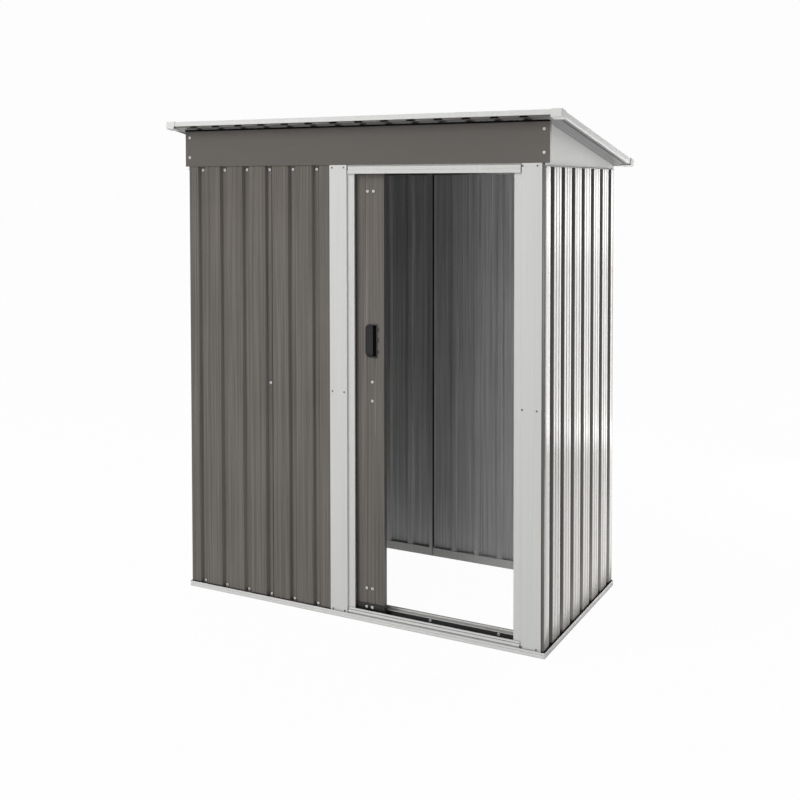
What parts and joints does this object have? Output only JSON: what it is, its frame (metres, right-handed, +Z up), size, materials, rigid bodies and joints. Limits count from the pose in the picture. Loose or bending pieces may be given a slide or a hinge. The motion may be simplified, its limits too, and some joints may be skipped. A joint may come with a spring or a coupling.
{
  "type": "metal tool shed",
  "caption": "Small lean-to garden tool shed of ribbed painted steel sheet on a floor rail frame, with a white-trimmed sloping roof and a sliding door in the front wall.",
  "frame": {"origin": "on the ground, under the middle of the roof's outline", "axes": "+X to the right along the front wall, +Y from the door to the rear wall, +Z up"},
  "size_m": [1.64, 0.8211, 1.84],
  "materials": {
    "grey_paint": "semi-gloss warm grey paint on roll-formed steel sheet",
    "white_paint": "semi-gloss pale grey-white paint on folded steel sheet",
    "galvanised_steel": "plain zinc-coated sheet",
    "white_plastic": "moulded, satin",
    "black_plastic": "moulded, fine matt grain"
  },
  "bodies": {
    "shed": {"front_wall_sheet_1": "grey_paint", "front_wall_sheet_2": "grey_paint", "rear_wall_sheet_1": "grey_paint", "rear_wall_sheet_2": "grey_paint", "rear_wall_sheet_3": "grey_paint", "rear_wall_sheet_4": "grey_paint", "left_wall_sheet_1": "grey_paint", "left_wall_sheet_2": "grey_paint", "right_wall_sheet_1": "grey_paint", "right_wall_sheet_2": "grey_paint", "front_fascia": "grey_paint", "roof_sheet_1": "grey_paint", "roof_sheet_2": "grey_paint", "roof_sheet_3": "grey_paint", "left_door_post": "white_paint", "right_door_post": "white_paint", "door_header": "white_paint", "door_sill": "white_paint", "left_gable": "white_paint", "right_gable": "white_paint", "roof_front_trim": "white_paint", "roof_rear_trim": "white_paint", "roof_left_trim": "white_paint", "roof_right_trim": "white_paint", "front_floor_rail": "white_paint", "rear_floor_rail": "white_paint", "left_floor_rail": "white_paint", "right_floor_rail": "white_paint", "bottom_door_track": "galvanised_steel", "upper_door_track": "galvanised_steel", "rear_top_rail": "galvanised_steel", "left_top_rail": "galvanised_steel", "right_top_rail": "galvanised_steel", "roof_front_left_cap": "white_plastic", "roof_front_right_cap": "white_plastic", "roof_rear_left_cap": "white_plastic", "roof_rear_right_cap": "white_plastic"},
    "door": {"door_sheet": "grey_paint", "door_leading_stile": "grey_paint", "door_trailing_stile": "grey_paint", "door_top_channel": "galvanised_steel", "door_bottom_channel": "galvanised_steel", "door_handle": "black_plastic", "door_top_glides": "black_plastic", "door_bottom_glides": "black_plastic"}
  },
  "joints": [
    {"name": "door_slide", "type": "slide", "parent": "shed", "child": "door", "axis": [1, 0, 0], "range_m": [-0.066, 0.536]}
  ]
}
